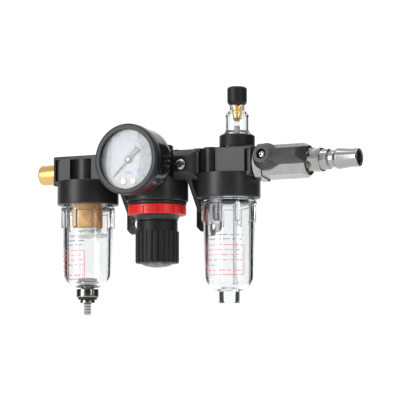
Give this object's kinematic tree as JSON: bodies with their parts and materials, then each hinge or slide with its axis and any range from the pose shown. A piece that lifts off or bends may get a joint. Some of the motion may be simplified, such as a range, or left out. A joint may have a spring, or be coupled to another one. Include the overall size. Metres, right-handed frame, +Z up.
{
  "type": "filter regulator lubricator",
  "caption": "Compressed-air filter, regulator and lubricator modules clamped in a row on wall brackets, with a pressure gauge, lever ball valve and hose plug.",
  "frame": {"origin": "on the wall plane that both brackets rest on, level with the ports and in line with the regulator axis", "axes": "+X along the air flow from inlet to outlet, +Y into the wall, +Z up"},
  "size_m": [0.2278, 0.065, 0.1422],
  "materials": {
    "black_casting": "satin black paint on a die casting",
    "black_knob": "black moulded plastic",
    "gauge_case_black": "gloss black paint on pressed steel",
    "red_nut": "red moulded plastic",
    "clear_polycarbonate": "clear moulded polycarbonate",
    "black_rubber": "nitrile rubber",
    "white_plastic": "white moulded plastic",
    "sintered_element": "porous sintered element",
    "nickel_plate": "bright nickel plate on brass",
    "brass": "turned brass",
    "steel": "plain steel",
    "dial_white": "white enamel",
    "pointer_grey": "satin grey"
  },
  "bodies": {
    "unit": {"bonnet": "black_casting", "bourdon_tube": "brass", "clamp_left": "black_casting", "clamp_right": "black_casting", "clamp_screw_left": "nickel_plate", "clamp_screw_right": "nickel_plate", "dial_screw_left": "brass", "dial_screw_right": "brass", "diaphragm": "black_rubber", "dome_base": "black_casting", "drain_body": "nickel_plate", "drain_nut": "nickel_plate", "filler_plug": "black_casting", "filter_baffle": "white_plastic", "filter_body": "black_casting", "filter_bowl": "clear_polycarbonate", "filter_bowl_seal": "black_rubber", "filter_deflector": "white_plastic", "filter_element": "sintered_element", "gauge_bezel": "gauge_case_black", "gauge_case": "gauge_case_black", "gauge_dial": "dial_white", "gauge_lens": "clear_polycarbonate", "gauge_stem": "brass", "inlet_nipple": "brass", "lubricator_body": "black_casting", "lubricator_bowl": "clear_polycarbonate", "lubricator_bowl_seal": "black_rubber", "poppet_spring": "steel", "port_seal_left": "black_rubber", "port_seal_right": "black_rubber", "quick_plug": "nickel_plate", "regulating_spring": "steel", "regulator_body": "black_casting", "sight_dome": "clear_polycarbonate", "siphon_tube": "white_plastic", "splash_guard": "white_plastic", "valve_body": "nickel_plate", "valve_end": "nickel_plate", "valve_guide_plug": "black_casting", "wall_bracket_left": "black_casting", "wall_bracket_right": "black_casting"},
    "adjuster": {"adjusting_screw": "steel"},
    "knob": {"adjusting_knob": "black_knob", "knob_cap": "black_knob"},
    "spring_seat": {"spring_seat": "brass"},
    "diaphragm_centre": {"diaphragm_plate": "steel"},
    "poppet": {"poppet": "brass"},
    "ring_nut": {"ring_nut": "red_nut"},
    "pointer": {"gauge_pointer": "pointer_grey"},
    "lever": {"valve_lever": "black_knob", "lever_screw": "nickel_plate", "valve_stem": "steel", "valve_ball": "steel"},
    "drip_knob": {"drip_knob": "black_knob"},
    "needle": {"needle_valve": "brass"},
    "damper": {"flow_damper": "white_plastic"},
    "drain": {"drain_stem": "nickel_plate", "drain_seal": "black_rubber"}
  },
  "joints": [
    {"name": "knob_turn", "type": "hinge", "parent": "unit", "child": "adjuster", "pos_m": [0, -0.023, -0.05], "axis": [0, 0, 1], "range_deg": [0, 1440]},
    {"name": "knob_pull", "type": "slide", "parent": "adjuster", "child": "knob", "axis": [0, 0, -1], "range_m": [0, 0.003]},
    {"name": "seat_travel", "type": "slide", "parent": "unit", "child": "spring_seat", "axis": [0, 0, 1], "range_m": [0, 0.004], "deforming": ["regulating_spring"]},
    {"name": "plate_travel", "type": "slide", "parent": "unit", "child": "diaphragm_centre", "axis": [0, 0, 1], "range_m": [0, 0.0012]},
    {"name": "poppet_travel", "type": "slide", "parent": "unit", "child": "poppet", "axis": [0, 0, 1], "range_m": [0, 0.0012], "deforming": ["poppet_spring"]},
    {"name": "ring_nut_turn", "type": "hinge", "parent": "unit", "child": "ring_nut", "pos_m": [0, -0.023, -0.027], "axis": [0, 0, 1], "continuous": true},
    {"name": "pointer_swing", "type": "hinge", "parent": "unit", "child": "pointer", "pos_m": [0, -0.061, 0.0023], "axis": [0, 1, 0], "range_deg": [0, 270]},
    {"name": "lever_turn", "type": "hinge", "parent": "unit", "child": "lever", "pos_m": [0.084, -0.023, 0], "axis": [0, 0.9877, -0.1564], "range_deg": [0, 90]},
    {"name": "drip_turn", "type": "hinge", "parent": "unit", "child": "drip_knob", "pos_m": [0.0574, -0.023, 0.045], "axis": [0, 0, 1], "range_deg": [0, 720]},
    {"name": "needle_travel", "type": "slide", "parent": "unit", "child": "needle", "axis": [0, 0, 1], "range_m": [0, 0.001]},
    {"name": "damper_swing", "type": "hinge", "parent": "unit", "child": "damper", "pos_m": [0.0411, -0.023, 0.003], "axis": [0, -1, 0], "range_deg": [0, 35]},
    {"name": "drain_push", "type": "slide", "parent": "unit", "child": "drain", "axis": [0, 0, 1], "range_m": [0, 0.002]}
  ],
  "couplings": [
    {"joint": "knob_turn", "follows": "seat_travel", "rad_per_m": 6283.2},
    {"joint": "poppet_travel", "follows": "plate_travel", "ratio": 1},
    {"joint": "drip_turn", "follows": "needle_travel", "rad_per_m": 12566}
  ]
}
